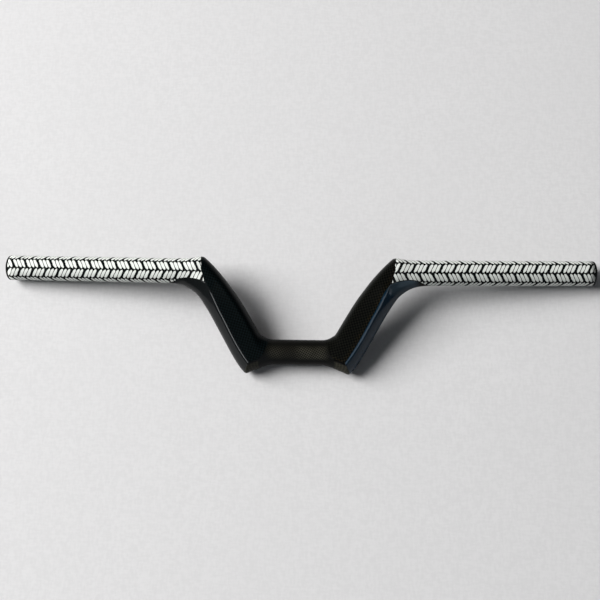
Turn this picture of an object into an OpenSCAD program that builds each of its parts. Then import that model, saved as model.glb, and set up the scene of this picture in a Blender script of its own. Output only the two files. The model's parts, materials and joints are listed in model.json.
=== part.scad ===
// Moulded carbon BMX handlebar: one hollow body with a plug in each end.
// X runs along the clamp axis and Y up the rise. Z is up from the surface the bar lies on.
// The sections are drawn in the rise plane, seen from the front, and the bar is then tipped
// about the clamp axis until it rests on the backs of its two heels and on its two ends.

/* [Bar] */
// Width between the middles of the two end plugs' faces
bar_width = 530; // [440:1:760]
// Diameter of the clamp zone and of the grip tubes
tube_d = 22.2; // [19:0.1:32]
// Wall of the grip tubes and arms
wall = 2.4; // [1.6:0.1:3.4]
// Wall of the clamp zone
clamp_wall = 3; // [2:0.1:4]
// Length of the straight round clamp zone
clamp_len = 43; // [34:1:70]

/* [Rise and sweep] */
// Height of the elbows above the clamp axis
rise = 71; // [55:0.5:120]
// Angle of the arms above the clamp axis
arm_angle = 61; // [52:0.5:72]
// Sweep of the grips towards the rider
back_sweep = 7.5; // [3:0.5:12]
// Slope of the grips up towards the ends
up_sweep = 0.6; // [0:0.1:3]

/* [Arms] */
// Width of the flat front face, from the inner edge to the sharp crease
face_w = 21.9; // [18:0.1:28]
// Width of the bevelled outer face, as seen from the front
bevel_w = 8.6; // [5:0.2:12]
// Height of the sharp crease in front of the rise plane
crease_h = 13; // [11:0.2:18]
// Depth of the arm behind the rise plane
arm_back = 11.5; // [9:0.5:16]
// Radius that rounds the inner edge of the front face
edge_r = 7; // [4:0.5:9]
// Radius of the bend between the clamp zone and the inner edge of the arm
inner_bend_r = 16; // [10:0.2:20]
// Radius of the bend between the outer edge of the arm and the grip
outer_bend_r = 33.5; // [28:0.5:45]
// How far the heel reaches below the clamp axis
heel_drop = 19.6; // [15:0.2:26]
// Radius of the heel's tip
heel_r = 3.5; // [2:0.5:6]
// How far the elbow's peak stands above the grip tube
peak_h = 2; // [0.5:0.5:4]

/* [End plugs] */
// Thickness of the plug's head
plug_head = 2.2; // [1.5:0.1:5]
// Depth of the dome on the head
plug_dome = 0.9; // [0.5:0.1:1.3]
// Radius that rounds the head's rim
plug_rim_r = 1.2; // [0.4:0.1:1.4]
// Length of the stem inside the tube
plug_stem = 16; // [8:1:30]
// Gap between the stem's ribs and the bore
plug_fit = 0.05; // [0.02:0.01:0.2]

/* [Hidden] */
$fn = 96;

tube_r = tube_d / 2;
bore_r = tube_r - wall;
clamp_r = tube_r - clamp_wall;
clamp_half = clamp_len / 2;

// Small steps that keep a loft's end ring just inside the disc it joins
ring_in = 0.999;
ring_step = 1;

// Length of a vector's own direction, and the direction at an angle in the rise plane
function unit(v) = v / norm(v);
function dir(a) = [cos(a), sin(a)];

// Plan of one arm in the rise plane. The sharp crease starts at the heel's corner and climbs at
// arm_angle; the edges lie beside it, square to the arm.
arm_dir = dir(arm_angle);
arm_out = [sin(arm_angle), -cos(arm_angle)];
arm_in = -arm_out;

// The inner bend leaves the clamp zone level and ends where it is almost in the arm's direction
bend_short = 1;
bend_turn = arm_angle - bend_short;
function inner_bend(a) = [clamp_half, tube_r + inner_bend_r] + inner_bend_r * [sin(a), -cos(a)];
bend_end = inner_bend(bend_turn);

// Foot of the arm: the crease and the outer edge beside the end of the inner bend
low_crease = bend_end - face_w * arm_in;
low_outer = low_crease + bevel_w * arm_out;

// Heel: its corner on the front lies inwards of the crease's foot, partway down to its tip. The
// lower edge falls to the tip at heel_fall and leaves it at heel_leave.
heel_corner_in = 11.8;
heel_corner_share = 0.495;
heel_tip_out = 2.9;
heel_fall = 23;
heel_leave = 45;
heel_corner = [low_crease[0] - heel_corner_in, -heel_corner_share * heel_drop];
heel_tip = [heel_corner[0] + heel_tip_out, -heel_drop];
heel_reach = heel_r * tan((heel_fall + heel_leave) / 2);

// Lower edge between the clamp zone and the heel
sole_out = 9;
sole_drop = 2.2;

// Elbow: the grip's axis crosses the rise plane there, and the front face ends on a crease that leans
// across the tube from the junction with the bevel up to the peak
junction_drop = 11.7;
junction_y = rise - junction_drop;
junction_lean = 1.4;
climb = junction_y - low_crease[1];
junction = [low_crease[0] + climb / tan(arm_angle + junction_lean), junction_y];
peak_out = 4.4;
peak = [junction[0] + peak_out, rise + tube_r + peak_h];
elbow_out = 7;
elbow = [junction[0] + elbow_out, rise, 0];

// The front face is narrower just below the elbow, and its edges bow out a little halfway up
neck_down = 10.6;
neck_in = 0.2;
neck_w = 17.6;
neck = junction - neck_down * arm_dir;
face_bow = 0.7;
bow_narrow = 0.9;
mid_face = (low_crease + junction) / 2 + face_bow * arm_out;
// The crease lies a little inside the line from its foot to the junction
crease_in = 0.6;

// Under the grip the crease fades, past a wedge, into a round tube
wedge_out = 18;
wedge_drop = 6.6;
wedge_rise = 0.35;
wedge_h = 9;
wedge_x = junction[0] + wedge_out;
fade_out = 36.5;
fade_x = junction[0] + fade_out;

// Grip axis from the elbow outwards, as a unit vector in the rise frame
grip_dir = [cos(up_sweep) * cos(back_sweep), sin(up_sweep), -cos(up_sweep) * sin(back_sweep)];
grip_up = unit([0, 1, 0] - (grip_dir * [0, 1, 0]) * grip_dir);
grip_front = cross(grip_dir, grip_up);
fade_s = (fade_x - elbow[0]) / grip_dir[0];
grip_end_s = (bar_width / 2 - elbow[0]) / grip_dir[0];
tube_end_s = grip_end_s - plug_head;
fade_c = elbow + fade_s * grip_dir;
grip_end_c = elbow + grip_end_s * grip_dir;
function beside_fade(h) = [fade_c[0], fade_c[1]] + h * [grip_up[0], grip_up[1]];

// The outer edge leaves the arm for a round bend under the grip, a little fuller than its foot
bend_out = 0.85;
bend_y = rise - tube_r;
bend_x = low_outer[0] + (bend_y - low_outer[1]) / tan(arm_angle) + bend_out;
outer_bend_c = [bend_x + outer_bend_r * tan(arm_angle / 2), bend_y - outer_bend_r];
function outer_bend(a) = outer_bend_c + outer_bend_r * [-sin(a), cos(a)];

// A rail is a list of [t, point, angle in, angle out]. It runs through its points in the given
// directions, at a speed set by its neighbours, and t is shared by all rails, so equal t lies in
// one section.
// t: 0 clamp end, 1 and 1.2 either side of the heel's fold, 2 foot of the arm, 3 middle, 4 neck below
// the elbow, 5 and 5.1 either side of the elbow's crease, 6 wedge under the grip, 7 plain tube
t_wedge = 6;
t_last = 7;

function pace(r, i, j) = norm(r[j][1] - r[i][1]) / (r[j][0] - r[i][0]);
function speed(r, i) = pace(r, max(i - 1, 0), min(i + 1, len(r) - 1));
function span(r, t, i = 0) = i >= len(r) - 2 || t <= r[i + 1][0] ? i : span(r, t, i + 1);
function rail(r, t) =
    let (i = span(r, t), j = i + 1, h = r[j][0] - r[i][0], u = (t - r[i][0]) / h,
         v0 = speed(r, i) * h * dir(r[i][3]), v1 = speed(r, j) * h * dir(r[j][2]))
    (2 * u^3 - 3 * u^2 + 1) * r[i][1] + (u^3 - 2 * u^2 + u) * v0
    + (3 * u^2 - 2 * u^3) * r[j][1] + (u^3 - u^2) * v1;
// A point that a rail passes in one direction
function key(t, p, a) = [t, p, a, a];
// Radius over which the sharp folds are rounded, and the two ends of the rounded peak
fold_r = 0.6;
peak_start = peak + [-2.3, -0.9];
peak_end = peak + [1.5, -0.15];

// Inner or upper edge
inner_rail = [
    key(0, inner_bend(0), 0),
    key(1, inner_bend(24), 24),
    key(1.2, inner_bend(34), 34),
    key(2, bend_end, bend_turn),
    key(3, mid_face + (face_w - bow_narrow) * arm_in, arm_angle - 4),
    key(4, neck + neck_w * arm_in, arm_angle - 7.5),
    key(5, peak_start, arm_angle - 21),
    key(5.1, peak_end, -7),
    key(6, [wedge_x, rise + tube_r + wedge_rise], -1.5),
    key(7, beside_fade(tube_r), up_sweep)];

// Sharp crease: over the clamp, round the heel's corner, up the arm and on under the grip
crease_start = 10;
crease_end = 61;
crease_rail = [
    key(0, [clamp_half, -tube_r * sin(crease_start)], -12),
    key(1, heel_corner - fold_r * dir(-22), -23),
    key(1.2, heel_corner + fold_r * dir(55), arm_angle - 8),
    key(2, low_crease, arm_angle - 1),
    key(3, mid_face + crease_in * arm_in, arm_angle),
    key(4, neck + neck_in * arm_in, arm_angle + 2),
    key(5, junction + crease_in * arm_in - fold_r * dir(arm_angle), arm_angle + 2),
    key(5.1, junction + crease_in * arm_in + fold_r * dir(31), 30),
    key(6, [wedge_x, rise - wedge_drop], -1),
    key(7, beside_fade(-tube_r * sin(crease_end)), up_sweep)];

// Lower or outer edge
outer_rail = [
    key(0, [clamp_half, -tube_r], 0),
    key(0.4, [clamp_half + sole_out, -tube_r - sole_drop], -22),
    key(1, heel_tip - heel_reach * dir(-heel_fall), -heel_fall),
    key(1.2, heel_tip + heel_reach * dir(heel_leave), heel_leave),
    key(2, low_outer, arm_angle),
    key(3, mid_face + bevel_w * arm_out, arm_angle),
    key(4, outer_bend(arm_angle - 5), arm_angle - 5),
    key(5, outer_bend(39), 39),
    key(5.05, outer_bend(34), 34),
    key(5.1, outer_bend(29), 29),
    key(6, outer_bend(16), 16),
    key(7, beside_fade(-tube_r), up_sweep)];

// A curve of one value over t, eased between its [t, value] pairs
function ease(u) = 3 * u^2 - 2 * u^3;
function eased(c, t, i = 0) =
    i >= len(c) - 2 || t <= c[i + 1][0]
    ? let (u = (t - c[i][0]) / (c[i + 1][0] - c[i][0]))
        c[i][1] + (c[i + 1][1] - c[i][1]) * ease(min(max(u, 0), 1))
    : eased(c, t, i + 1);

// Depth of the grip's axis behind the rise plane, which curves into the sweep through the elbow
sweep_start = 4;
sweep_power = 1.6;
function axis_z(t) =
    t <= sweep_start ? 0 : fade_c[2] * pow((t - sweep_start) / (t_last - sweep_start), sweep_power);

// Heights of the crease and of the front face, which leans a little inwards, and depth of the back
face_lean = 0.8;
crease_z = [[0, tube_r * cos(crease_start)], [1, crease_h], [4, crease_h], [5, crease_h - 0.5],
            [5.1, crease_h - 0.8], [6, wedge_h], [7, tube_r * cos(crease_end)]];
front_z = [[0, tube_r], [1.2, crease_h - face_lean], [4, crease_h - face_lean],
           [5, crease_h - 1.3], [5.1, crease_h - 1.4], [7, tube_r]];
back_z = [[0, tube_r], [1.2, arm_back], [5, arm_back], [7, tube_r]];
// Share of the way from the inner to the outer edge at which the front face turns into its round edge
edge_share = edge_r / (face_w + bevel_w);
front_share = [[0, 0.5], [2, edge_share], [4, edge_share], [5, 0.3], [5.1, 0.32], [7, 0.5]];
// 0 is a flat front face and bevel, 1 is a round tube
roundness = [[0, 1], [1, 0.12], [1.2, 0.08], [4, 0.05], [5, 0.1], [5.1, 0.2], [6, 0.75], [7, 1]];

// One cubic curve from p to q with its two handles, without its last point
function strip(p, a, b, q, n) =
    [for (i = [0:n - 1]) let (u = i / n)
        (1 - u)^3 * p + 3 * u * (1 - u)^2 * a + 3 * u^2 * (1 - u) * b + u^3 * q];
// Handle length that makes a cubic curve follow an arc, or the chord of one
function arc_handle(angle, radius) = 4 / 3 * tan(angle / 4) * radius;
function chord_handle(angle, chord) =
    abs(angle) < 1 ? chord / 3 : arc_handle(angle, chord / (2 * sin(angle / 2)));
quarter = arc_handle(90, 1);

// The bevel bulges: it falls away from the crease at bevel_fall and stands upright at the outer edge
bevel_fall = 42;
bevel_along = 0.05;
bevel_up = 0.3;
function fall_from(bevel, across) =
    norm(bevel) / 3 * (cos(bevel_fall) * across - sin(bevel_fall) * up);
up = [0, 0, 1];

// Closed section at t, as a list of points: outer edge, bevel, crease, front, inner edge, back.
// counts gives the number of points on each of its five curves.
function section(t, counts) =
    let (z = axis_z(t), inner_p = rail(inner_rail, t), crease_p = rail(crease_rail, t),
         outer_p = rail(outer_rail, t), front_p = inner_p + (outer_p - inner_p) * eased(front_share, t),
         back_p = (inner_p + outer_p) / 2, w = eased(roundness, t),
         inner = [inner_p[0], inner_p[1], z], outer = [outer_p[0], outer_p[1], z],
         crease = [crease_p[0], crease_p[1], z + eased(crease_z, t)],
         front = [front_p[0], front_p[1], z + eased(front_z, t)],
         back = [back_p[0], back_p[1], z - eased(back_z, t)], across = unit(outer - inner),
         face = crease - front, face_turn = 2 * atan2(-(face * up), face * across),
         face_h = chord_handle(face_turn, norm(face)),
         bevel = crease - outer, bevel_turn = 2 * atan2(-(bevel * across), bevel * up),
         bevel_h = chord_handle(bevel_turn, norm(bevel)),
         bevel_out = w * bevel_h * up + (1 - w) * (bevel_along * bevel + bevel_up * norm(bevel) * up),
         bevel_in = w * bevel_h * (sin(bevel_turn) * across - cos(bevel_turn) * up)
                    + (1 - w) * fall_from(bevel, across),
         face_in = w * face_h * (sin(face_turn) * up - cos(face_turn) * across) - (1 - w) * face / 3,
         face_out = w * face_h * across + (1 - w) * face / 3,
         front_h = (front - inner) * up, front_w = norm(front - inner - up * front_h),
         back_w = norm(outer - inner) / 2, back_h = (inner - back) * up)
    concat(
        strip(outer, outer + bevel_out, crease + bevel_in, crease, counts[0]),
        strip(crease, crease + face_in, front + face_out, front, counts[1]),
        strip(front, front - quarter * front_w * across, inner + quarter * front_h * up, inner, counts[2]),
        strip(inner, inner - quarter * back_h * up, back - quarter * back_w * across, back, counts[3]),
        strip(back, back + quarter * back_w * across, outer - quarter * back_h * up, outer, counts[4]));

// The last ring is square to the grip's axis, so depth is taken along the grip there
function lay_over(p, t) =
    t < t_wedge ? p
    : p + ease((t - t_wedge) / (t_last - t_wedge)) * (p[2] - axis_z(t)) * (grip_front - up);

// Ring of the loft at t, drawn in by a wall towards its own middle
function ring(t, inset, counts) =
    let (mid = (rail(inner_rail, t) + rail(outer_rail, t)) / 2, c = [mid[0], mid[1], axis_z(t)])
    [for (q = section(t, counts)) let (p = lay_over(q, t)) c + (p - c) * (1 - inset / norm(p - c))];

// A ring drawn in towards its middle by a share of its size and moved
function middle(r) = [for (k = [0:2]) let (c = [for (p = r) p[k]]) (min(c) + max(c)) / 2];
function shrunk(r, share, move = [0, 0, 0]) = let (c = middle(r)) [for (p = r) c + (p - c) * share + move];

// Places of the rings along the arm, as [from, to, count]: close together at the heel's fold and at
// the elbow's crease
outer_stretches = [[0, 1, 7], [1, 1.2, 3], [1.2, 2, 3], [2, 4, 6], [4, 5, 5], [5, 5.1, 2], [5.1, 6, 4],
                   [6, 7, 4]];
cavity_stretches = [[0, 1, 4], [1, 2, 2], [2, 4, 4], [4, 5, 3], [5, 7, 5]];
outer_counts = [4, 4, 5, 5, 5];
cavity_counts = [2, 2, 3, 3, 3];
function spread(s) = [for (i = [0:s[2] - 1]) s[0] + (s[1] - s[0]) * i / s[2]];
function stations(stretches) = concat([for (s = stretches) each spread(s)], [t_last]);

// Rings of the outside. Both end rings are a hair smaller than the discs they meet, and a copy of
// each lies inside the clamp zone or the tube.
function outer_rings() =
    let (r = [for (t = stations(outer_stretches)) ring(t, 0, outer_counts)], n = len(r),
         first = shrunk(r[0], ring_in), last = shrunk(r[n - 1], ring_in))
    concat([shrunk(first, ring_in, [-ring_step, 0, 0]), first], [for (i = [1:n - 2]) r[i]],
           [last, shrunk(last, ring_in, ring_step * grip_dir)]);

// Rings of the hollow, whose ends lie inside the round bores
cavity_in = 0.96;
function cavity_wall(t) = t < 1 ? clamp_wall + (wall - clamp_wall) * t : wall;
function cavity_rings() =
    let (r = [for (t = stations(cavity_stretches)) ring(t, cavity_wall(t), cavity_counts)], n = len(r))
    concat([shrunk(r[0], cavity_in, [-ring_step, 0, 0])], [for (i = [1:n - 2]) r[i]],
           [shrunk(r[n - 1], cavity_in, ring_step * grip_dir)]);

// Rings joined into one closed solid
function loft_faces(rings, n) =
    concat([[for (j = [n - 1:-1:0]) j]],
        [for (i = [0:rings - 2], j = [0:n - 1], half = [0, 1])
            let (a = i * n + j, b = i * n + (j + 1) % n) half == 0 ? [a, b, a + n] : [b, b + n, a + n]],
        [[for (j = [0:n - 1]) (rings - 1) * n + j]]);
module loft(rings) {
    n = len(rings[0]);
    polyhedron(points = [for (r = rings) each r], faces = loft_faces(len(rings), n), convexity = 8);
}

// Tilt at which the backs of the heels and the ends of the bar lie on one plane
arm_points = [for (r = outer_rings()) each r];
function low_z(p, a) = p[1] * sin(a) + p[2] * cos(a);
function tilt_error(a) = min([for (p = arm_points) low_z(p, a)]) - (low_z(grip_end_c, a) - tube_r);
function rest_tilt(lo, hi, n) =
    let (a = (lo + hi) / 2)
    n == 0 ? a : tilt_error(a) > 0 ? rest_tilt(a, hi, n - 1) : rest_tilt(lo, a, n - 1);
rest_pitch = rest_tilt(0, 40, 24);

// Places children along the grip axis: Z runs outwards from the elbow and Y stays up the rise
module along_grip(s) {
    c = elbow + s * grip_dir;
    multmatrix([[grip_front[0], grip_up[0], grip_dir[0], c[0]],
                [grip_front[1], grip_up[1], grip_dir[1], c[1]],
                [grip_front[2], grip_up[2], grip_dir[2], c[2]],
                [0, 0, 0, 1]])
        children();
}
module along_clamp() {
    rotate([0, 90, 0]) children();
}
module both_sides() {
    children();
    mirror([1, 0, 0]) children();
}
module at_rest() {
    rotate([rest_pitch, 0, 0]) children();
}

// One arm and its grip tube, and the hollow inside them
module half_outside() {
    loft(outer_rings());
    along_grip(fade_s) cylinder(h = tube_end_s - fade_s, r = tube_r);
}
module half_hollow() {
    loft(cavity_rings());
    along_grip(fade_s) cylinder(h = tube_end_s - fade_s + ring_step, r = bore_r);
}

module bar_body() {
    color([0.06, 0.07, 0.07]) at_rest() difference() {
        union() {
            along_clamp() cylinder(h = clamp_len, r = tube_r, center = true);
            both_sides() half_outside();
        }
        along_clamp() cylinder(h = clamp_len, r = clamp_r, center = true);
        both_sides() half_hollow();
    }
}

// Plug: a domed head as wide as the tube, with a rounded rim, on a hollow stem with ribs
rib_count = 3;
rib_w = 1.6;
rib_first = 0.6;
stem_play = 0.9;
stem_wall = 1.6;
stem_r = bore_r - stem_play;
stem_bore_r = stem_r - stem_wall;
dome_r = (tube_r^2 + plug_dome^2) / (2 * plug_dome);
dome_low = plug_head - dome_r;
rim_in = tube_r - plug_rim_r;
rim_up = dome_low + sqrt((dome_r - plug_rim_r)^2 - rim_in^2);
rim_turn = acos(rim_in / (dome_r - plug_rim_r));
rim_steps = 6;
dome_steps = 5;
module plug_head_profile() {
    polygon(concat(
        [[0, 0], [tube_r, 0]],
        [for (i = [0:rim_steps]) [rim_in, rim_up] + plug_rim_r * dir(i * rim_turn / rim_steps)],
        [for (i = [1:dome_steps])
            [0, dome_low] + dome_r * dir(rim_turn + i * (90 - rim_turn) / dome_steps)]));
}
module plug_stem_profile() {
    translate([stem_bore_r, -plug_stem]) square([stem_wall, plug_stem]);
    for (i = [0:rib_count - 1])
        translate([stem_bore_r, -(i + rib_first) * plug_stem / rib_count - rib_w / 2])
            square([bore_r - plug_fit - stem_bore_r, rib_w]);
}
module end_plug() {
    along_grip(tube_end_s) rotate_extrude() {
        plug_head_profile();
        plug_stem_profile();
    }
}
module end_plug_right() {
    color([0.03, 0.03, 0.03]) at_rest() end_plug();
}
module end_plug_left() {
    color([0.03, 0.03, 0.03]) at_rest() mirror([1, 0, 0]) end_plug();
}

bar_body();
end_plug_left();
end_plug_right();
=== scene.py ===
import json
import math

import bpy
import numpy as np
from mathutils import Matrix, Vector


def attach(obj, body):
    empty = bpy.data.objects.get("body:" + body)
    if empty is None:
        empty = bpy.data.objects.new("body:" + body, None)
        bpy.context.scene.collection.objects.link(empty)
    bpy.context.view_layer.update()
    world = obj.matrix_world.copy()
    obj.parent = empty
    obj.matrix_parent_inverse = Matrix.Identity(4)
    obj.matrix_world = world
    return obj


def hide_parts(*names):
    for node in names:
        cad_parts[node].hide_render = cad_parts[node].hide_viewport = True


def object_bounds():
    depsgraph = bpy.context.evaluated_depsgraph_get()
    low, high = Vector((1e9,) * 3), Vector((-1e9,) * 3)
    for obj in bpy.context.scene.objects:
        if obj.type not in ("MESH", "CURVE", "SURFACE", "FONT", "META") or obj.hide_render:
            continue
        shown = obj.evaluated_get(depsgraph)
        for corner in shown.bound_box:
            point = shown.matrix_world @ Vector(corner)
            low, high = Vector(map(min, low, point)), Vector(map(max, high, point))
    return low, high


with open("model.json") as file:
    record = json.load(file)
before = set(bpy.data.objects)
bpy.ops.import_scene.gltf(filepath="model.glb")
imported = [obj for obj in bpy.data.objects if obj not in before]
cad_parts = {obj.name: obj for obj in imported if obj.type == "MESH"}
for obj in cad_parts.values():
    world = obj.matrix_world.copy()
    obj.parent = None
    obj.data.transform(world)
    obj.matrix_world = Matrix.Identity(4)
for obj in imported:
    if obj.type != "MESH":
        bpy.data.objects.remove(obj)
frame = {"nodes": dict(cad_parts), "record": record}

CAD_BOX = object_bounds()
MM = 0.001

# Sizes that the frame gives, in millimetres
MOUNTS = {m["name"]: m for m in frame["record"]["mounts"]}
TUBE_R = MOUNTS["stem_clamp"]["dims"]["r_mm"]
CLAMP_HALF = MOUNTS["stem_clamp"]["dims"]["length_mm"] / 2
GRIP_AXIS_ROW = np.array(MOUNTS["grip_right"]["axis"])
FLOOR_Z = CAD_BOX[0].z

# Sizes of the moulding, in millimetres and degrees, in the rise plane: X along the clamp, Y up the
# rise, Z towards the viewer. The part's source has them under the same names.
WALL = 2.4
CLAMP_WALL = 3.0
RISE = 71.0
ARM_ANGLE = 61.0
BACK_SWEEP = 7.5
UP_SWEEP = 0.6
FACE_W = 21.9
BEVEL_W = 8.6
CREASE_H = 13.0
ARM_BACK = 11.5
EDGE_R = 7.0
INNER_BEND_R = 16.0
OUTER_BEND_R = 33.5
HEEL_DROP = 19.6
HEEL_R = 3.5
PEAK_H = 2.0
PLUG_HEAD = 2.2
HALF_WIDTH = 265.0


def direction(angle):
    a = math.radians(angle)
    return np.array([math.cos(a), math.sin(a)])


def unit(v):
    return v / np.linalg.norm(v)


def sin_deg(a):
    return math.sin(math.radians(a))


def cos_deg(a):
    return math.cos(math.radians(a))


def tan_deg(a):
    return math.tan(math.radians(a))


# Plan of the right arm
ARM_DIR = direction(ARM_ANGLE)
ARM_OUT = np.array([ARM_DIR[1], -ARM_DIR[0]])
ARM_IN = -ARM_OUT
BEND_SHORT = 1
BEND_TURN = ARM_ANGLE - BEND_SHORT


def inner_bend(a):
    """Point a degrees round the bend between the clamp zone and the arm's inner edge."""
    centre = np.array([CLAMP_HALF, TUBE_R + INNER_BEND_R])
    return centre + INNER_BEND_R * np.array([sin_deg(a), -cos_deg(a)])


# Foot of the arm
BEND_END = inner_bend(BEND_TURN)
LOW_CREASE = BEND_END - FACE_W * ARM_IN
LOW_OUTER = LOW_CREASE + BEVEL_W * ARM_OUT

# Heel, and the lower edge between it and the clamp zone
HEEL_CORNER_IN = 11.8
HEEL_CORNER_SHARE = 0.495
HEEL_TIP_OUT = 2.9
HEEL_FALL = 23.0
HEEL_LEAVE = 45.0
HEEL_CORNER = np.array([LOW_CREASE[0] - HEEL_CORNER_IN, -HEEL_CORNER_SHARE * HEEL_DROP])
HEEL_TIP = np.array([HEEL_CORNER[0] + HEEL_TIP_OUT, -HEEL_DROP])
HEEL_REACH = HEEL_R * tan_deg((HEEL_FALL + HEEL_LEAVE) / 2)
SOLE_OUT = 9
SOLE_DROP = 2.2

# Elbow, and the narrower neck and the bowed face below it
JUNCTION_DROP = 11.7
JUNCTION_LEAN = 1.4
JUNCTION_Y = RISE - JUNCTION_DROP
CLIMB = JUNCTION_Y - LOW_CREASE[1]
JUNCTION = np.array([LOW_CREASE[0] + CLIMB / tan_deg(ARM_ANGLE + JUNCTION_LEAN), JUNCTION_Y])
PEAK_OUT = 4.4
PEAK = np.array([JUNCTION[0] + PEAK_OUT, RISE + TUBE_R + PEAK_H])
ELBOW_OUT = 7
ELBOW = np.array([JUNCTION[0] + ELBOW_OUT, RISE, 0])
NECK_DOWN = 10.6
NECK_IN = 0.2
NECK_W = 17.6
NECK = JUNCTION - NECK_DOWN * ARM_DIR
FACE_BOW = 0.7
BOW_NARROW = 0.9
MID_FACE = (LOW_CREASE + JUNCTION) / 2 + FACE_BOW * ARM_OUT
CREASE_IN = 0.6

# Wedge under the grip, and the place where it has faded into a round tube
WEDGE_OUT = 18
WEDGE_DROP = 6.6
WEDGE_RISE = 0.35
WEDGE_H = 9.0
WEDGE_X = JUNCTION[0] + WEDGE_OUT
FADE_OUT = 36.5
FADE_X = JUNCTION[0] + FADE_OUT

# Grip axis in the rise frame, and the tilt that lays the bar on its heels and ends
UP = np.array([0.0, 0.0, 1.0])
GRIP_DIR = np.array([cos_deg(UP_SWEEP) * cos_deg(BACK_SWEEP), sin_deg(UP_SWEEP),
                     -cos_deg(UP_SWEEP) * sin_deg(BACK_SWEEP)])
GRIP_UP = unit(np.array([0, 1, 0]) - GRIP_DIR[1] * GRIP_DIR)
GRIP_FRONT = np.cross(GRIP_DIR, GRIP_UP)
PITCH = math.atan2(GRIP_AXIS_ROW[2], GRIP_AXIS_ROW[1]) - math.atan2(GRIP_DIR[2], GRIP_DIR[1])
TO_ROW = np.array(Matrix.Rotation(PITCH, 3, "X"))
FADE_S = (FADE_X - ELBOW[0]) / GRIP_DIR[0]
GRIP_END_S = (HALF_WIDTH - ELBOW[0]) / GRIP_DIR[0]
TUBE_END_S = GRIP_END_S - PLUG_HEAD
FADE_C = ELBOW + FADE_S * GRIP_DIR


def beside_fade(h):
    return FADE_C[:2] + h * GRIP_UP[:2]


# Bend between the arm's outer edge and the grip
BEND_OUT = 0.85
BEND_Y = RISE - TUBE_R
BEND_X = LOW_OUTER[0] + (BEND_Y - LOW_OUTER[1]) / tan_deg(ARM_ANGLE) + BEND_OUT
OUTER_BEND_C = np.array([BEND_X + OUTER_BEND_R * tan_deg(ARM_ANGLE / 2), BEND_Y - OUTER_BEND_R])


def outer_bend(a):
    return OUTER_BEND_C + OUTER_BEND_R * np.array([-sin_deg(a), cos_deg(a)])


# Rails: points with the share t at which a section crosses them, and the direction they run in.
# t is 0 at the clamp zone's end, 1 to 1.2 round the heel's fold, 2 at the arm's foot, 3 halfway up,
# 4 at the neck, 5 to 5.1 over the elbow's crease, 6 at the wedge and 7 at the plain tube.
T_ELBOW = 5
T_WEDGE = 6.0
T_LAST = 7.0
FOLD_R = 0.6
CREASE_START = 10.0
CREASE_END = 61.0
PEAK_START = PEAK + np.array([-2.3, -0.9])
PEAK_END = PEAK + np.array([1.5, -0.15])
INNER_RAIL = [
    (0, inner_bend(0), 0),
    (1, inner_bend(24), 24),
    (1.2, inner_bend(34), 34),
    (2, BEND_END, BEND_TURN),
    (3, MID_FACE + (FACE_W - BOW_NARROW) * ARM_IN, ARM_ANGLE - 4),
    (4, NECK + NECK_W * ARM_IN, ARM_ANGLE - 7.5),
    (5, PEAK_START, ARM_ANGLE - 21),
    (5.1, PEAK_END, -7),
    (6, np.array([WEDGE_X, RISE + TUBE_R + WEDGE_RISE]), -1.5),
    (7, beside_fade(TUBE_R), UP_SWEEP)]
CREASE_RAIL = [
    (0, np.array([CLAMP_HALF, -TUBE_R * sin_deg(CREASE_START)]), -12),
    (1, HEEL_CORNER - FOLD_R * direction(-22), -23),
    (1.2, HEEL_CORNER + FOLD_R * direction(55), ARM_ANGLE - 8),
    (2, LOW_CREASE, ARM_ANGLE - 1),
    (3, MID_FACE + CREASE_IN * ARM_IN, ARM_ANGLE),
    (4, NECK + NECK_IN * ARM_IN, ARM_ANGLE + 2),
    (5, JUNCTION + CREASE_IN * ARM_IN - FOLD_R * ARM_DIR, ARM_ANGLE + 2),
    (5.1, JUNCTION + CREASE_IN * ARM_IN + FOLD_R * direction(31), 30),
    (6, np.array([WEDGE_X, RISE - WEDGE_DROP]), -1),
    (7, beside_fade(-TUBE_R * sin_deg(CREASE_END)), UP_SWEEP)]
OUTER_RAIL = [
    (0, np.array([CLAMP_HALF, -TUBE_R]), 0),
    (0.4, np.array([CLAMP_HALF + SOLE_OUT, -TUBE_R - SOLE_DROP]), -22),
    (1, HEEL_TIP - HEEL_REACH * direction(-HEEL_FALL), -HEEL_FALL),
    (1.2, HEEL_TIP + HEEL_REACH * direction(HEEL_LEAVE), HEEL_LEAVE),
    (2, LOW_OUTER, ARM_ANGLE),
    (3, MID_FACE + BEVEL_W * ARM_OUT, ARM_ANGLE),
    (4, outer_bend(ARM_ANGLE - 5), ARM_ANGLE - 5),
    (5, outer_bend(39), 39),
    (5.05, outer_bend(34), 34),
    (5.1, outer_bend(29), 29),
    (6, outer_bend(16), 16),
    (7, beside_fade(-TUBE_R), UP_SWEEP)]


def span(keys, t):
    """Number of the key before t, in a rail or a curve."""
    i = 0
    while i < len(keys) - 2 and t > keys[i + 1][0]:
        i += 1
    return i


def speed(rail, i):
    a = max(i - 1, 0)
    b = min(i + 1, len(rail) - 1)
    return np.linalg.norm(rail[b][1] - rail[a][1]) / (rail[b][0] - rail[a][0])


def along(rail, t):
    """Point of a rail at t: a cubic curve between its neighbouring points."""
    i = span(rail, t)
    (ta, pa, aa), (tb, pb, ab) = rail[i], rail[i + 1]
    h = tb - ta
    u = (t - ta) / h
    va = speed(rail, i) * h * direction(aa)
    vb = speed(rail, i + 1) * h * direction(ab)
    return ((2 * u**3 - 3 * u**2 + 1) * pa + (u**3 - 2 * u**2 + u) * va
            + (3 * u**2 - 2 * u**3) * pb + (u**3 - u**2) * vb)


def ease(u):
    u = min(max(u, 0.0), 1.0)
    return 3 * u * u - 2 * u**3


def eased(curve, t):
    """Value of a curve at t, eased between its keys."""
    i = span(curve, t)
    (ta, a), (tb, b) = curve[i], curve[i + 1]
    return a + (b - a) * ease((t - ta) / (tb - ta))


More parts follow.
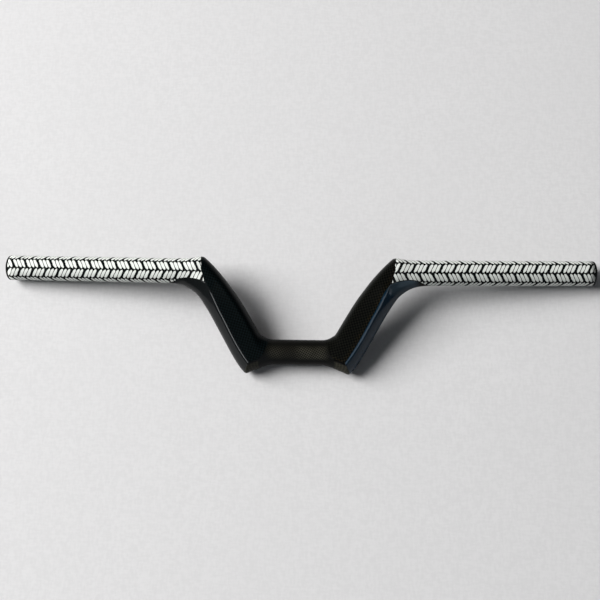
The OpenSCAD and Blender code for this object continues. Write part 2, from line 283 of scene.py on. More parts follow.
def stretch(t, start, rise, end, fall):
    """1 between start and end, eased in over rise and out over fall."""
    return ease((t - start) / rise) * ease((end - t) / fall)


# Curves over t: height of the crease, height of the front face, depth of the back, place of the
# front's rounded edge, and roundness, which is 0 on the flat arm and 1 on the round tube
FACE_LEAN = 0.8
EDGE_SHARE = EDGE_R / (FACE_W + BEVEL_W)
CREASE_Z = [(0, TUBE_R * cos_deg(CREASE_START)), (1, CREASE_H), (4, CREASE_H),
            (5, CREASE_H - 0.5), (5.1, CREASE_H - 0.8), (6, WEDGE_H),
            (7, TUBE_R * cos_deg(CREASE_END))]
FRONT_Z = [(0, TUBE_R), (1.2, CREASE_H - FACE_LEAN), (4, CREASE_H - FACE_LEAN),
           (5, CREASE_H - 1.3), (5.1, CREASE_H - 1.4), (7, TUBE_R)]
BACK_Z = [(0, TUBE_R), (1.2, ARM_BACK), (5, ARM_BACK), (7, TUBE_R)]
FRONT_SHARE = [(0, 0.5), (2, EDGE_SHARE), (4, EDGE_SHARE), (5, 0.3), (5.1, 0.32), (7, 0.5)]
ROUNDNESS = [(0, 1), (1, 0.12), (1.2, 0.08), (4, 0.05), (5, 0.1), (5.1, 0.2), (6, 0.75), (7, 1)]
SWEEP_START = 4.0
SWEEP_POWER = 1.6


def axis_z(t):
    """Depth of the grip's axis, which curves into the sweep through the elbow."""
    if t <= SWEEP_START:
        return 0.0
    return FADE_C[2] * ((t - SWEEP_START) / (T_LAST - SWEEP_START)) ** SWEEP_POWER


def bezier(p, a, b, q, us):
    us = us[:, None]
    return (1 - us)**3 * p + 3 * us * (1 - us)**2 * a + 3 * us**2 * (1 - us) * b + us**3 * q


def arc_handle(angle, radius):
    """Handle length that makes a cubic curve follow an arc."""
    return 4 / 3 * tan_deg(angle / 4) * radius


def chord_handle(angle, chord):
    if abs(angle) < 1:
        return chord / 3
    return arc_handle(angle, chord / (2 * sin_deg(angle / 2)))


def shares(n, start=0.0, end=1.0):
    """n even shares from start up to end, without end itself."""
    return np.linspace(start, end, n, endpoint=False)


QUARTER = arc_handle(90, 1)

# The bevel falls away from the crease at this angle and stands upright at the outer edge
BEVEL_FALL = 42.0
BEVEL_ALONG = 0.05
BEVEL_UP = 0.3

# Points on the five curves of a section and on the small round over the crease
BEVEL_N, CREASE_N, FACE_N, EDGE_N, BACK_N = 14, 10, 20, 16, 18
CREASE_ROUND = 1.7
ON_CREASE_N = BEVEL_N + CREASE_N
RING_N = ON_CREASE_N + FACE_N + EDGE_N + 2 * BACK_N
CREASE_AT = BEVEL_N + CREASE_N // 2


def section(t):
    """Closed ring of points at t: outer edge, bevel, crease, front, inner edge, back."""
    z = axis_z(t)
    inner_p, crease_p, outer_p = along(INNER_RAIL, t), along(CREASE_RAIL, t), along(OUTER_RAIL, t)
    front_p = inner_p + (outer_p - inner_p) * eased(FRONT_SHARE, t)
    w = eased(ROUNDNESS, t)
    inner = np.array([*inner_p, z])
    outer = np.array([*outer_p, z])
    crease = np.array([*crease_p, z + eased(CREASE_Z, t)])
    front = np.array([*front_p, z + eased(FRONT_Z, t)])
    back = np.array([*(inner_p + outer_p) / 2, z - eased(BACK_Z, t)])
    across = unit(outer - inner)
    face = crease - front
    face_turn = 2 * math.degrees(math.atan2(-face @ UP, face @ across))
    face_h = chord_handle(face_turn, np.linalg.norm(face))
    face_in = (w * face_h * (sin_deg(face_turn) * UP - cos_deg(face_turn) * across)
               - (1 - w) * face / 3)
    face_out = w * face_h * across + (1 - w) * face / 3
    bevel = crease - outer
    bevel_len = np.linalg.norm(bevel)
    bevel_turn = 2 * math.degrees(math.atan2(-bevel @ across, bevel @ UP))
    bevel_h = chord_handle(bevel_turn, bevel_len)
    bevel_out = w * bevel_h * UP + (1 - w) * (BEVEL_ALONG * bevel + BEVEL_UP * bevel_len * UP)
    bevel_in = (w * bevel_h * (sin_deg(bevel_turn) * across - cos_deg(bevel_turn) * UP)
                + (1 - w) * bevel_len / 3
                * (cos_deg(BEVEL_FALL) * across - sin_deg(BEVEL_FALL) * UP))
    front_h = (front - inner) @ UP
    front_w = np.linalg.norm(front - inner - UP * front_h)
    back_w = np.linalg.norm(outer - inner) / 2
    back_h = (inner - back) @ UP
    bevel_c = (outer, outer + bevel_out, crease + bevel_in, crease)
    face_c = (crease, crease + face_in, front + face_out, front)
    edge_c = (front, front - QUARTER * front_w * across, inner + QUARTER * front_h * UP, inner)
    back_in_c = (inner, inner - QUARTER * back_h * UP, back - QUARTER * back_w * across, back)
    back_out_c = (back, back + QUARTER * back_w * across, outer - QUARTER * back_h * UP, outer)
    # Where the round over the crease leaves the bevel and meets the face
    leave = 1 - CREASE_ROUND / bevel_len
    meet = CREASE_ROUND / np.linalg.norm(face)
    start = bezier(*bevel_c, np.array([leave]))[0]
    end = bezier(*face_c, np.array([meet]))[0]
    round_c = (start, (start + 2 * crease) / 3, (end + 2 * crease) / 3, end)
    return np.vstack([
        bezier(*bevel_c, shares(BEVEL_N, 0, leave)), bezier(*round_c, shares(CREASE_N)),
        bezier(*face_c, shares(FACE_N, meet, 1)), bezier(*edge_c, shares(EDGE_N)),
        bezier(*back_in_c, shares(BACK_N)), bezier(*back_out_c, shares(BACK_N))])


def ring_at(t):
    """The section at t, laid square to the grip's axis towards its last."""
    ring = section(t)
    if t >= T_WEDGE:
        lean = ease((t - T_WEDGE) / (T_LAST - T_WEDGE)) * (ring[:, 2] - axis_z(t))
        ring = ring + lean[:, None] * (GRIP_FRONT - UP)
    return ring


def drawn_in(ring, centre, inset):
    out = ring - centre
    return centre + out * (1 - inset / np.linalg.norm(out, axis=1))[:, None]


# Rings of the right half, from the middle of the clamp zone to the tube's end. Along the arm they
# stand in stretches, given as from, to and count. The bore has every fourth of them.
STRETCHES = [(0, 1, 26), (1, 1.2, 10), (1.2, 2, 16), (2, 4, 30),
             (4, 5, 22), (5, 5.1, 8), (5.1, 6, 22), (6, 7, 22)]
CLAMP_RINGS = 8
TUBE_RINGS = 26
BORE_STEP = 4


def half_rings(inset_of):
    """(place, ring) pairs: place is t on the arm, below 0 on the clamp zone, over 7 on the tube."""
    first, last = ring_at(0), ring_at(T_LAST)
    rings = []
    for i in range(CLAMP_RINGS):
        share = i / CLAMP_RINGS
        centre = np.array([CLAMP_HALF * share, 0, 0])
        ring = first - np.array([CLAMP_HALF * (1 - share), 0, 0])
        rings.append((share - 1, drawn_in(ring, centre, inset_of(0))))
    for a, b, n in STRETCHES:
        for t in [a + (b - a) * i / n for i in range(n)]:
            middle = (along(INNER_RAIL, t) + along(OUTER_RAIL, t)) / 2
            rings.append((t, drawn_in(ring_at(t), np.array([*middle, axis_z(t)]), inset_of(t))))
    for i in range(TUBE_RINGS + 1):
        step = (TUBE_END_S - FADE_S) * i / TUBE_RINGS * GRIP_DIR
        ring = drawn_in(last + step, FADE_C + step, inset_of(T_LAST))
        rings.append((T_LAST + i / TUBE_RINGS, ring))
    return rings


def no_inset(t):
    return 0.0


def wall_inset(t):
    return CLAMP_WALL + (WALL - CLAMP_WALL) * min(max(t, 0), 1)


# Stretch of the arm where the bevel's shading runs evenly over the elbow's fold, the millimetres
# over which it is averaged, and the share of it on the first points from the outer edge
EVEN = (4.0, 0.5, 6.6, 0.6)
EVEN_SPREAD = 7.5
EVEN_START = (0.0, 0.4, 0.8)


def even_normals(rings):
    """For each ring, its normals with the bevel's averaged along the arm, or None. A normal of zero
    length leaves the automatic one in place."""
    places = [place for place, _ in rings]
    block = np.array([ring for _, ring in rings])
    run = np.gradient(block, axis=0)
    turn = np.roll(block, -1, axis=1) - np.roll(block, 1, axis=1)
    normals = np.cross(run, turn)
    normals /= np.linalg.norm(normals, axis=2)[:, :, None]
    middle = block[:, BEVEL_N // 2]
    step = np.linalg.norm(np.diff(middle, axis=0), axis=1)
    at = np.concatenate([[0], np.cumsum(step)])
    length = np.gradient(at)
    share = np.zeros(RING_N)
    share[:BEVEL_N] = 1.0
    share[:len(EVEN_START)] = EVEN_START
    share[BEVEL_N:ON_CREASE_N] = np.linspace(1, 0, CREASE_N)
    result = [None] * len(rings)
    for i, place in enumerate(places):
        fade = share * stretch(place, *EVEN)
        if not fade.any():
            continue
        weight = np.exp(-0.5 * ((at - at[i]) / EVEN_SPREAD) ** 2) * length
        mean = (normals * weight[:, None, None]).sum(axis=0) / weight.sum()
        evened = normals[i] + fade[:, None] * (mean - normals[i])
        evened /= np.linalg.norm(evened, axis=1)[:, None]
        evened[ON_CREASE_N:] = 0.0
        evened[0] = 0.0
        result[i] = evened
    return result


def cloth_map(rings):
    """For each ring, millimetres along the arm and round the section, for the carbon cloth."""
    maps = []
    for _, ring in rings:
        a = ring[:, :2] @ ARM_DIR
        b = ring[:, :2] @ ARM_OUT
        step = np.hypot(np.diff(b, append=b[:1]), np.diff(ring[:, 2], append=ring[:1, 2]))
        run = np.concatenate([[0], np.cumsum(step)])
        v = run - run[CREASE_AT]
        maps.append((np.append(a, a[0]), b[CREASE_AT] - v))
    return maps


# Print on the grips: it starts at the elbow's crease, keeps above the crease under the grip and
# closes round the tube a little further out. Angles are degrees up from the front.
WRAP_LEN = 26.0
FADE_ANGLE = -92.0
TOP_ANGLE = 118.0
BACK_ANGLE = 180.0
END_LAP = 0.1
PER_DEGREE = math.pi * TUBE_R / 180


def low_edge():
    """The print's lower edge: distances along the grip, and the angle at each."""
    ss, angles = [], []
    for t in np.linspace(5.1, 6.3, 13):
        p = along(CREASE_RAIL, t)
        point = np.array([*p, axis_z(t) + eased(CREASE_Z, t)]) - ELBOW
        s = point @ GRIP_DIR
        point = point - s * GRIP_DIR
        ss.append(s)
        angles.append(math.degrees(math.atan2(point @ GRIP_UP, point @ GRIP_FRONT)))
    return ss + [FADE_S + 1, FADE_S + WRAP_LEN], angles + [FADE_ANGLE, -BACK_ANGLE]


LOW_S, LOW_ANGLE = low_edge()
HIGH_S = [0.0, FADE_S + WRAP_LEN]
HIGH_ANGLE = [TOP_ANGLE, BACK_ANGLE]
CREASE_LINE = unit(PEAK - JUNCTION)
CREASE_SIDE = np.array([CREASE_LINE[1], -CREASE_LINE[0]])


def print_map(rings):
    """For each ring, millimetres along the grip and round it, and distance inside the border."""
    maps = []
    for place, ring in rings:
        p = ring - ELBOW
        s = p @ GRIP_DIR
        q = p - s[:, None] * GRIP_DIR
        angle = np.degrees(np.arctan2(q @ GRIP_UP, q @ GRIP_FRONT))
        low = np.interp(s, LOW_S, LOW_ANGLE)
        high = np.interp(s, HIGH_S, HIGH_ANGLE)
        past_fade = np.maximum(s - FADE_S - WRAP_LEN, 0)
        inside = np.minimum(angle - low, high - angle) * PER_DEGREE + past_fade
        inside = np.minimum(inside, (ring[:, :2] - JUNCTION) @ CREASE_SIDE)
        inside = np.minimum(inside, TUBE_END_S - s + END_LAP)
        if place < T_ELBOW:
            inside = np.minimum(inside, -1.0)
        maps.append((s, angle * PER_DEGREE, inside))
    return maps


# Looks of the bevel, with the stretch of the arm that has each: the glossy bevel itself, the lip
# under the heel and the fold under the grip, where the right side has a painted reflection. Round
# the section they cover the bevel and the crease, and fade out behind the outer edge.
BEVEL_LOOKS = {"on_bevel": (1.1, 0.12, 7.0, 1.2), "on_lip": (0.1, 0.4, 1.24, 0.12),
               "on_fold": (4.3, 0.5, 7.0, 0.6)}
BEHIND_N = 6
BEVEL_STRIP = np.zeros(RING_N)
BEVEL_STRIP[:ON_CREASE_N] = 1.0
BEVEL_STRIP[-BEHIND_N:] = np.linspace(0, 1, BEHIND_N)

# How far to both sides the distance from the crease is told, in millimetres
CREASE_REACH = (-20, 40)

# Half the width of the matte band that the stem clamps, and the length of its faded edge
BAND_HALF = 29.5
BAND_FADE = 9
SHARP_ANGLE = 50


def both_sides(half, side):
    """A half's stations from one end of the bar to the other, each with its side, 1 for right."""
    return ([(*station, side) for station in half[::-1]]
            + [(*station, -side) for station in half[1:]])


def to_row(points, side):
    """Points or directions of the right half, brought to their side and laid as the bar lies."""
    return (points * np.array([side, 1, 1])) @ TO_ROW.T


def corners(here, there, k, m):
    """A face's four corners on a map: two of its own ring and two of the next."""
    return [(here[0][k], here[1][k]), (here[0][m], here[1][m]),
            (there[0][m], there[1][m]), (there[0][k], there[1][k])]


def unrolled(face):
    """The corners, all in the same turn round the tube as the first."""
    turn = 2 * math.pi * TUBE_R
    return [(u, v - turn * round((v - face[0][1]) / turn)) for u, v in face]


def bar_mesh():
    """The whole hollow body as one closed mesh, with its maps."""
    outer = half_rings(no_inset)
    bore = half_rings(wall_inset)
    bore = bore[:-1:BORE_STEP] + bore[-1:]
    none = [None] * len(bore)
    outside = zip(outer, cloth_map(outer), print_map(outer), even_normals(outer))
    stations = both_sides(list(outside), 1)
    last_outer = len(stations) - 1
    stations += both_sides(list(zip(bore, cloth_map(bore), none, none)), -1)

    points, normals = [], []
    looks = {name: [] for name in ("print_inside", "from_crease", *BEVEL_LOOKS)}
    for (place, ring), cloth, printed, evened, side in stations:
        points.append(to_row(ring, side) * MM)
        normals.append(np.zeros((RING_N, 3)) if evened is None else to_row(evened, side))
        looks["print_inside"].append(np.full(RING_N, -1.0) if printed is None else printed[2])
        from_crease = cloth[1][CREASE_AT] - cloth[1][:RING_N]
        looks["from_crease"].append(np.clip(from_crease, *CREASE_REACH))
        for name, where in BEVEL_LOOKS.items():
            share = 0.0 if printed is None else stretch(place, *where)
            looks[name].append(BEVEL_STRIP * share)

    faces, banded, corner_cloth, corner_print = [], [], [], []
    for i, ((_, ring), cloth, printed, _, _) in enumerate(stations):
        j = (i + 1) % len(stations)
        _, next_cloth, next_printed, _, _ = stations[j]
        in_band = i < last_outer and abs(ring[:, 0].mean()) < BAND_HALF
        banded += [int(in_band)] * RING_N
        for k in range(RING_N):
            m = (k + 1) % RING_N
            faces.append([at * RING_N + p for at, p in ((i, k), (i, m), (j, m), (j, k))])
            corner_cloth += corners(cloth, next_cloth, k, k + 1)
            if printed is None or next_printed is None:
                corner_print += [(0.0, 0.0)] * 4
            else:
                corner_print += unrolled(corners(printed, next_printed, k, m))

    mesh = bpy.data.meshes.new("bar_shell")
    mesh.from_pydata(np.vstack(points).tolist(), [], faces)
    for name, values in (("cloth", corner_cloth), ("print", corner_print)):
        layer = mesh.uv_layers.new(name=name)
        layer.uv.foreach_set("vector", np.array(values, np.float32).ravel())
    for name, values in looks.items():
        attribute = mesh.attributes.new(name, "FLOAT", "POINT")
        attribute.data.foreach_set("value", np.concatenate(values).astype(np.float32))
    mesh.polygons.foreach_set("material_index", banded)
    mesh.shade_smooth()
    mesh.set_sharp_from_angle(angle=math.radians(SHARP_ANGLE))
    mesh.validate()
    mesh.normals_split_custom_set_from_vertices(np.vstack(normals).tolist())
    return mesh


# Names of the shader's sockets
SOCKETS = {"colour": "Base Color", "roughness": "Roughness", "normal": "Normal",
           "specular": "Specular IOR Level", "coat": "Coat Weight",
           "coat_roughness": "Coat Roughness"}


class Nodes:
    """A short way to write a material's nodes."""

    def __init__(self, name):
        self.material = bpy.data.materials.new(name)
        self.material.use_nodes = True
        self.tree = self.material.node_tree
        self.tree.nodes.clear()

    def add(self, kind, **settings):
        node = self.tree.nodes.new("ShaderNode" + kind)
        for key, value in settings.items():
            setattr(node, key, value)
        return node

    def link(self, source, target):
        self.tree.links.new(source, target)

    def put(self, value, socket):
        if isinstance(value, bpy.types.NodeSocket):
            self.link(value, socket)
        else:
            socket.default_value = value

    def math(self, operation, a, b=0.0):
        node = self.add("Math", operation=operation)
        for value, socket in zip((a, b), node.inputs):
            self.put(value, socket)
        return node.outputs[0]

    def opposite(self, share):
        return self.math("SUBTRACT", 1.0, share)

    def distance(self, a, b):
        return self.math("ABSOLUTE", self.math("SUBTRACT", a, b))

    def mixed(self, data_type, share, a, b):
        node = self.add("Mix", data_type=data_type)
        for value, socket in ((share, "Factor"), (a, "A"), (b, "B")):
            self.put(value, node.inputs[socket])
        return node.outputs["Result"]

    def mix(self, share, a, b):
        """Colour between a and b."""
        return self.mixed("RGBA", share, a, b)

    def blend(self, share, a, b):
        """Number between a and b."""
        return self.mixed("FLOAT", share, a, b)

    def ramp(self, value, low, high):
        """0 below low, 1 above high, smooth between."""
        node = self.add("MapRange", interpolation_type="SMOOTHSTEP")
        for number, socket in ((value, "Value"), (low, "From Min"), (high, "From Max")):
            self.put(number, node.inputs[socket])
        return node.outputs["Result"]

    def split(self, vector):
        node = self.add("SeparateXYZ")
        self.link(vector, node.inputs[0])
        return node.outputs

    def along(self, vector, way):
        """How far the vector goes in a direction that lies square to X."""
        _, y, z = self.split(vector)
        return self.math("ADD", self.math("MULTIPLY", y, way[1]), self.math("MULTIPLY", z, way[2]))

    def uv(self, name):
        return self.split(self.add("UVMap", uv_map=name).outputs[0])[:2]

    def place(self):
        return self.add("TexCoord").outputs["Object"]

    def attribute(self, name):
        return self.add("Attribute", attribute_name=name).outputs["Fac"]

    def noise(self, vector, scale, detail=2.0):
        node = self.add("TexNoise")
        for value, socket in ((vector, "Vector"), (scale, "Scale"), (detail, "Detail")):
            self.put(value, node.inputs[socket])
        return node.outputs["Fac"]

    def bump(self, height, strength, distance):
        node = self.add("Bump")
        for value, socket in ((height, "Height"), (strength, "Strength"), (distance, "Distance")):
            self.put(value, node.inputs[socket])
        return node.outputs["Normal"]

    def shaded(self, **values):
        """The finished material, with the values of its shader's sockets."""
        shader = self.add("BsdfPrincipled")
        for name, value in values.items():
            self.put(value, shader.inputs[SOCKETS[name]])
        out = self.add("OutputMaterial")
        self.link(shader.outputs[0], out.inputs["Surface"])
        return self.material


# Carbon cloth: width of one tow in millimetres, strength and depth of the weave's relief, scale of
# the fine grain, and half the width over which the left side's painted light tints turn into the
# right side's
TOW = 1.6
BAND_TOW = TOW * 1.1
WEAVE_BUMP = (0.35, 0.12 * MM)
FINE_GRAIN = 1400.0
SIDE_BLUR = 10 * MM


def tows(n, u, v, width):
    """Plain weave: 0 or 1 for the tow on top, and the height of its crown."""
    a = n.math("DIVIDE", u, width)
    b = n.math("DIVIDE", v, width)
    cell = n.math("ADD", n.math("FLOOR", a), n.math("FLOOR", b))
    over = n.math("FLOORED_MODULO", cell, 2.0)
    fa = n.distance(n.math("FRACT", a), 0.5)
    fb = n.distance(n.math("FRACT", b), 0.5)
    across = n.blend(over, fa, fb)
    lengthwise = n.blend(over, fb, fa)
    crown = n.opposite(n.math("POWER", n.math("MULTIPLY", across, 2.0), 2.5))
    drop = n.math("POWER", n.math("MULTIPLY", lengthwise, 2.0), 2.0)
    height = n.math("SUBTRACT", crown, n.math("MULTIPLY", drop, 0.6))
    return over, height


# Print: rows of blocks, each of three slanted strokes, leaning one way and then the other
ROWS_ROUND = 8
ROW_H = 2 * math.pi * TUBE_R / ROWS_ROUND
BLOCK = 12.2
STROKES = 3
STROKE_PITCH = 3.45
STROKE_HALF = 1.42
STROKE_LEAN = 4.6
STROKE_LENGTH = 2.15
STROKE_TIP = 5.0
STROKE_BLUR = 0.08
WOBBLE = 1.1
BORDER = 0.8
BORDER_BLUR = 0.05
BLACK_INK = (0.004, 0.0045, 0.0045, 1)
WHITE_INK = (0.68, 0.71, 0.68, 1)


def stroke_print(n):
    """1 on an off-white stroke and 0 on the black between the strokes."""
    u, v = n.uv("print")
    wobble = n.noise(n.place(), 330.0)
    u = n.math("ADD", u, n.math("MULTIPLY", n.math("SUBTRACT", wobble, 0.5), WOBBLE))
    row = n.math("DIVIDE", v, ROW_H)
    odd = n.math("FLOORED_MODULO", n.math("FLOOR", row), 2.0)
    y = n.math("SUBTRACT", n.math("FRACT", row), 0.5)
    lean = n.math("SUBTRACT", n.math("MULTIPLY", odd, 2.0), 1.0)
    lean = n.math("MULTIPLY", lean, STROKE_LEAN)
    along_row = n.math("ADD", u, n.math("MULTIPLY", y, lean))
    along_row = n.math("ADD", along_row, n.math("MULTIPLY", odd, BLOCK / 2))
    in_block = n.math("FRACT", n.math("DIVIDE", along_row, BLOCK))
    x = n.math("MULTIPLY", n.math("SUBTRACT", in_block, 0.5), BLOCK)
    number = n.math("ROUND", n.math("DIVIDE", x, STROKE_PITCH))
    outermost = (STROKES - 1) / 2
    number = n.math("MAXIMUM", n.math("MINIMUM", number, outermost), -outermost)
    beside = n.distance(x, n.math("MULTIPLY", number, STROKE_PITCH))
    reach = n.math("ABSOLUTE", n.math("MULTIPLY", y, STROKE_LENGTH))
    half = n.math("MULTIPLY", n.opposite(n.math("POWER", reach, STROKE_TIP)), STROKE_HALF)
    return n.ramp(n.math("SUBTRACT", half, beside), -STROKE_BLUR, STROKE_BLUR)


def paint_over(n, colour):
    """The cloth's colour with the print over it, and the print's share."""
    inside = n.attribute("print_inside")
    painted = n.ramp(inside, -BORDER_BLUR, BORDER_BLUR)
    within = n.ramp(inside, BORDER - BORDER_BLUR, BORDER + BORDER_BLUR)
    ink = n.mix(n.math("MULTIPLY", stroke_print(n), within), BLACK_INK, WHITE_INK)
    return n.mix(painted, colour, ink), painted


def carbon_material():
    """Carbon cloth under a thin coat that is glossier on the bevels, with the print on the grips.
    The lips under the heels are olive cloth, with painted shade along the crease between them and
    the face. Painted light also tints each side's cloth, adds golden glints beside the right crease
    and a blue reflection on the right bevel."""
    n = Nodes("carbon")
    u, v = n.uv("cloth")
    place = n.place()
    right = n.ramp(n.split(place)[0], -SIDE_BLUR, SIDE_BLUR)
    over, height = tows(n, u, v, TOW)
    cloud = n.noise(place, 60.0, 3.0)
    warp = n.mix(cloud, (0.0002, 0.0003, 0.0004, 1), (0.0004, 0.0006, 0.0006, 1))
    # Painted light: the left side's cool tint and the right side's warm tint stand in for
    # differently coloured light on each arm
    cool = n.mix(cloud, (0.0027, 0.0057, 0.0066, 1), (0.0042, 0.0073, 0.0080, 1))
    warm = n.mix(cloud, (0.0046, 0.0052, 0.0042, 1), (0.0070, 0.0070, 0.0054, 1))
    weft = n.mix(right, cool, warm)

    # Painted highlight: golden glints in the colour of the face beside the right crease
    from_crease = n.attribute("from_crease")
    glint = n.math("MULTIPLY", n.ramp(n.math("SUBTRACT", 0.0, from_crease), -6.5, -1.5), right)
    glint = n.math("MULTIPLY", glint, n.ramp(n.noise(place, FINE_GRAIN), 0.45, 0.6))
    weft = n.mix(glint, weft, (0.0190, 0.0140, 0.0058, 1))
    weave = n.mix(over, warp, weft)

    lip = n.ramp(n.attribute("on_lip"), 0.1, 0.9)
    olive = n.mix(over, (0.0150, 0.0150, 0.0110, 1), (0.0330, 0.0315, 0.0225, 1))
    # Painted shade: a near-black line along the crease between the lip and the face
    crease_shade = n.opposite(n.ramp(n.distance(from_crease, 0.3), 0.6, 3.2))
    olive = n.mix(crease_shade, olive, (0.001, 0.001, 0.001, 1))
    weave = n.mix(lip, weave, olive)

    # Painted reflection: the bevel is blue on the right, and paler and less glossy round that
    # side's fold
    on_bevel = n.ramp(n.attribute("on_bevel"), 0.4, 0.95)
    fold = n.math("MULTIPLY", n.attribute("on_fold"), right)
    bevel = n.mix(right, (0.0050, 0.0060, 0.0064, 1), (0.0020, 0.0185, 0.0380, 1))
    bevel = n.mix(fold, bevel, (0.0260, 0.0440, 0.0600, 1))
    glossy = n.math("MULTIPLY", on_bevel, n.opposite(n.math("MULTIPLY", fold, 0.5)))

    colour, painted = paint_over(n, n.mix(on_bevel, weave, bevel))
    woven = n.math("MULTIPLY", n.opposite(painted), n.opposite(on_bevel))
    return n.shaded(
        colour=colour, roughness=n.blend(painted, n.blend(over, 0.42, 0.30), 0.5),
        normal=n.bump(n.math("MULTIPLY", height, woven), *WEAVE_BUMP), specular=0.04,
        coat=n.blend(glossy, 0.03, 0.36), coat_roughness=0.1)


def band_material():
    """Cloth at 45 degrees with a matte finish, where the stem clamps. Painted highlight makes it
    paler in patches along its front, and painted shade makes it darkest along its underside."""
    n = Nodes("carbon_band")
    u, v = n.uv("cloth")
    place = n.place()
    x = n.split(place)[0]
    facing = n.along(place, TO_ROW @ UP / (TUBE_R * MM))
    upward = n.along(place, TO_ROW[:, 1] / (TUBE_R * MM))
    over, height = tows(n, n.math("ADD", u, v), n.math("SUBTRACT", u, v), BAND_TOW)
    # Painted highlight: pale patches of colour along the front stand in for a broad highlight
    highlight_patches = n.ramp(n.noise(place, 45.0, 3.0), 0.3, 0.7)
    weft = n.mix(highlight_patches, (0.0240, 0.0235, 0.0180, 1), (0.0640, 0.0620, 0.0470, 1))
    # A dimmer gap across the front splits the painted highlight into two patches
    highlight_split = n.ramp(n.distance(x, -7 * MM), 3 * MM, 11 * MM)
    weft = n.mix(highlight_split, (0.0190, 0.0186, 0.0142, 1), weft)
    # Painted shade: away from the front, the colour darkens towards the underside
    far = n.mix(n.ramp(upward, -0.7, 0.0), (0.0015, 0.0016, 0.0015, 1), (0.0060, 0.0060, 0.0050, 1))
    # The painted highlight colour holds only along the front of the clamp zone, facing the viewer
    weft = n.mix(n.ramp(facing, 0.76, 0.98), far, weft)
    edge = n.ramp(n.math("ABSOLUTE", x), (BAND_HALF - BAND_FADE) * MM, BAND_HALF * MM)
    weft = n.mix(edge, weft, (0.0045, 0.0050, 0.0045, 1))
    weave = n.mix(over, (0.0025, 0.0025, 0.0022, 1), weft)
    grain = n.math("MULTIPLY", n.noise(place, FINE_GRAIN), 0.4)
    return n.shaded(
        colour=n.mix(grain, weave, (0.003, 0.003, 0.0025, 1)), roughness=n.blend(over, 0.50, 0.36),
        normal=n.bump(height, *WEAVE_BUMP), specular=0.06)


def plug_material():
    n = Nodes("plug_plastic")
    place = n.place()
    fine = n.noise(place, 900.0, 3.0)
    tone = n.mix(n.noise(place, 90.0), (0.0030, 0.0030, 0.0030, 1), (0.0060, 0.0060, 0.0060, 1))
    return n.shaded(colour=tone, roughness=n.blend(fine, 0.38, 0.52),
                    normal=n.bump(fine, 0.2, 0.05 * MM), specular=0.12)


def floor_material():
    """Pale paper with fine fibres that cross."""
    n = Nodes("pale_paper")
    place = n.place()
    threads = []
    for scale in ((1.0, 0.35, 1.0), (0.35, 1.0, 1.0)):
        mapping = n.add("Mapping")
        n.put(place, mapping.inputs["Vector"])
        n.put(scale, mapping.inputs["Scale"])
        threads.append(n.noise(mapping.outputs[0], 520.0))
    fibre = n.math("MULTIPLY", n.math("ADD", *threads), 0.5)
    tone = n.mix(n.noise(place, 9.0, 3.0), (0.62, 0.62, 0.63, 1), (0.65, 0.65, 0.66, 1))
    tone = n.mix(n.ramp(fibre, 0.35, 0.65), tone, (0.598, 0.598, 0.608, 1))
    return n.shaded(colour=tone, roughness=0.9, normal=n.bump(fibre, 0.15, 0.4 * MM))


def place_bar():
    bar = bpy.data.objects.new("bar_shell", bar_mesh())
    bpy.context.scene.collection.objects.link(bar)
    bar.data.materials.append(carbon_material())
    bar.data.materials.append(band_material())
    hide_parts("bar_body")
    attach(bar, "root")


def finish_plugs():
    material = plug_material()
    for name in ("end_plug_left", "end_plug_right"):
        plug = frame["nodes"][name]
        plug.data.materials.clear()
        plug.data.materials.append(material)


# Half the width of the floor and of its near part, in metres
FLOOR_HALF = 2.0
NEAR_HALF = 0.5


def floor_piece(name, points, faces, material):
    mesh = bpy.data.meshes.new(name)
    mesh.from_pydata([(x, y, FLOOR_Z) for x, y in points], [], faces)
    piece = bpy.data.objects.new(name, mesh)
    bpy.context.scene.collection.objects.link(piece)
    piece.data.materials.append(material)
    return piece


def place_floor():
    """A pale floor. The gloss mirrors only its near part, as under a small paper sweep."""
    square = [(-1, -1), (1, -1), (1, 1), (-1, 1)]
    near = [(x * NEAR_HALF, y * NEAR_HALF) for x, y in square]
    far = [(x * FLOOR_HALF, y * FLOOR_HALF) for x, y in square]
    rim = [(i + 4, (i + 1) % 4 + 4, (i + 1) % 4, i) for i in range(4)]
    material = floor_material()
    floor_piece("floor", near, [(0, 1, 2, 3)], material)
    around = floor_piece("floor_around", near + far, rim, material)
    around.visible_glossy = False


# Camera and lights stand in the rise plane's frame: X right, Y up the rise, Z square to it
TARGET = np.array([1.8, 46.35, 0.0])
CAMERA_DISTANCE = 1000.0
CAMERA_YAW = 2.0
CAMERA_ROLL = -0.65
CAMERA_LENS = 67.8
CAMERA_REACH = 20
SENSOR = 36.0

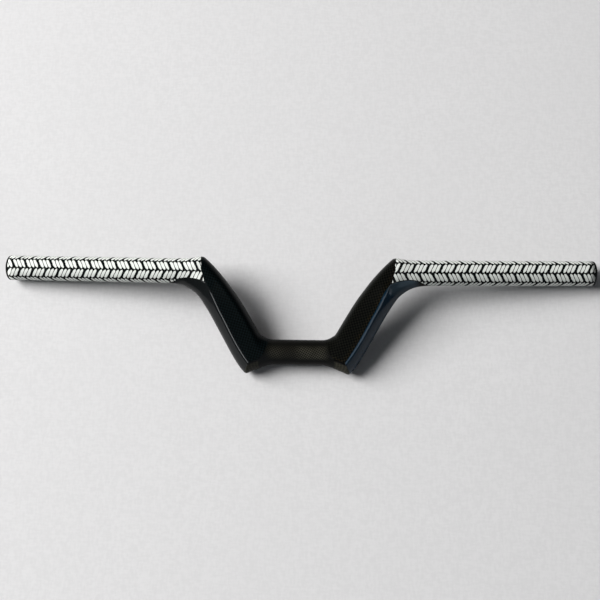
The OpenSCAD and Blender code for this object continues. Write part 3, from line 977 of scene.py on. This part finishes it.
# Each light's name, offset from the target in millimetres, size in metres, watts and colour, and
# whether it is seen by diffuse or by glossy surfaces
LIGHTS = [
    ("key", (-3480, 1500, 2520), (2.7, 2.7), 388, (1.0, 0.99, 0.975), "diffuse"),
    ("top", (-1500, 2900, 1600), (2.4, 2.4), 18, (1.0, 0.99, 0.98), "diffuse"),
    ("fill", (600, -1600, 1900), (1.2, 1.2), 3.5, (0.93, 0.97, 1.0), "diffuse"),
    ("rim_left", (-808, -400, 1182), (0.45, 0.5), 6.8, (0.96, 0.98, 1.0), "glossy"),
    ("rim_right", (928, -470, 1060), (1.6, 0.4), 7.2, (0.76, 0.88, 1.0), "glossy"),
    ("low_right", (450, -1150, 560), (0.8, 1.2), 5.0, (0.72, 0.88, 1.0), "glossy"),
    ("band_high", (-50, 200, 1350), (0.3, 0.24), 0.3, (1.0, 0.97, 0.88), "glossy"),
    ("band_low", (-50, -240, 1350), (0.3, 0.34), 0.18, (1.0, 0.97, 0.88), "glossy")]
WORLD_COLOUR = (0.02, 0.0205, 0.0215, 1)


def rise_to_world(v):
    return Vector((TO_ROW @ np.array(v, float)) * MM)


def look(eye, target, up):
    """Matrix of a camera or light at eye that looks at target."""
    back = (eye - target).normalized()
    right = up.cross(back).normalized()
    upright = back.cross(right)
    turn = Matrix((right, upright, back)).transposed().to_4x4()
    return Matrix.Translation(eye) @ turn


def place_camera():
    data = bpy.data.cameras.new("camera")
    data.lens = CAMERA_LENS
    data.sensor_width = SENSOR
    data.clip_end = CAMERA_REACH
    camera = bpy.data.objects.new("camera", data)
    bpy.context.scene.collection.objects.link(camera)
    away = np.array([sin_deg(CAMERA_YAW), 0, cos_deg(CAMERA_YAW)])
    eye = rise_to_world(TARGET + CAMERA_DISTANCE * away)
    matrix = look(eye, rise_to_world(TARGET), rise_to_world([0, 1000, 0]))
    camera.matrix_world = matrix @ Matrix.Rotation(math.radians(-CAMERA_ROLL), 4, "Z")
    bpy.context.scene.camera = camera


def place_light(name, offset, size, watts, colour, seen_by):
    """A soft light that faces the target and stays out of the picture."""
    data = bpy.data.lights.new(name, "AREA")
    data.shape = "RECTANGLE"
    data.size, data.size_y = size
    data.energy = watts
    data.color = colour
    light = bpy.data.objects.new(name, data)
    bpy.context.scene.collection.objects.link(light)
    eye = rise_to_world(TARGET + np.array(offset))
    light.matrix_world = look(eye, rise_to_world(TARGET), rise_to_world([0, 1000, 1]))
    light.visible_camera = False
    light.visible_diffuse = seen_by == "diffuse"
    light.visible_glossy = seen_by == "glossy"


def place_world():
    world = bpy.data.worlds.new("studio")
    world.use_nodes = True
    world.node_tree.nodes["Background"].inputs["Color"].default_value = WORLD_COLOUR
    bpy.context.scene.world = world


bpy.context.scene.view_settings.view_transform = "Standard"
place_camera()
place_bar()
finish_plugs()
place_floor()
for light in LIGHTS:
    place_light(*light)
place_world()
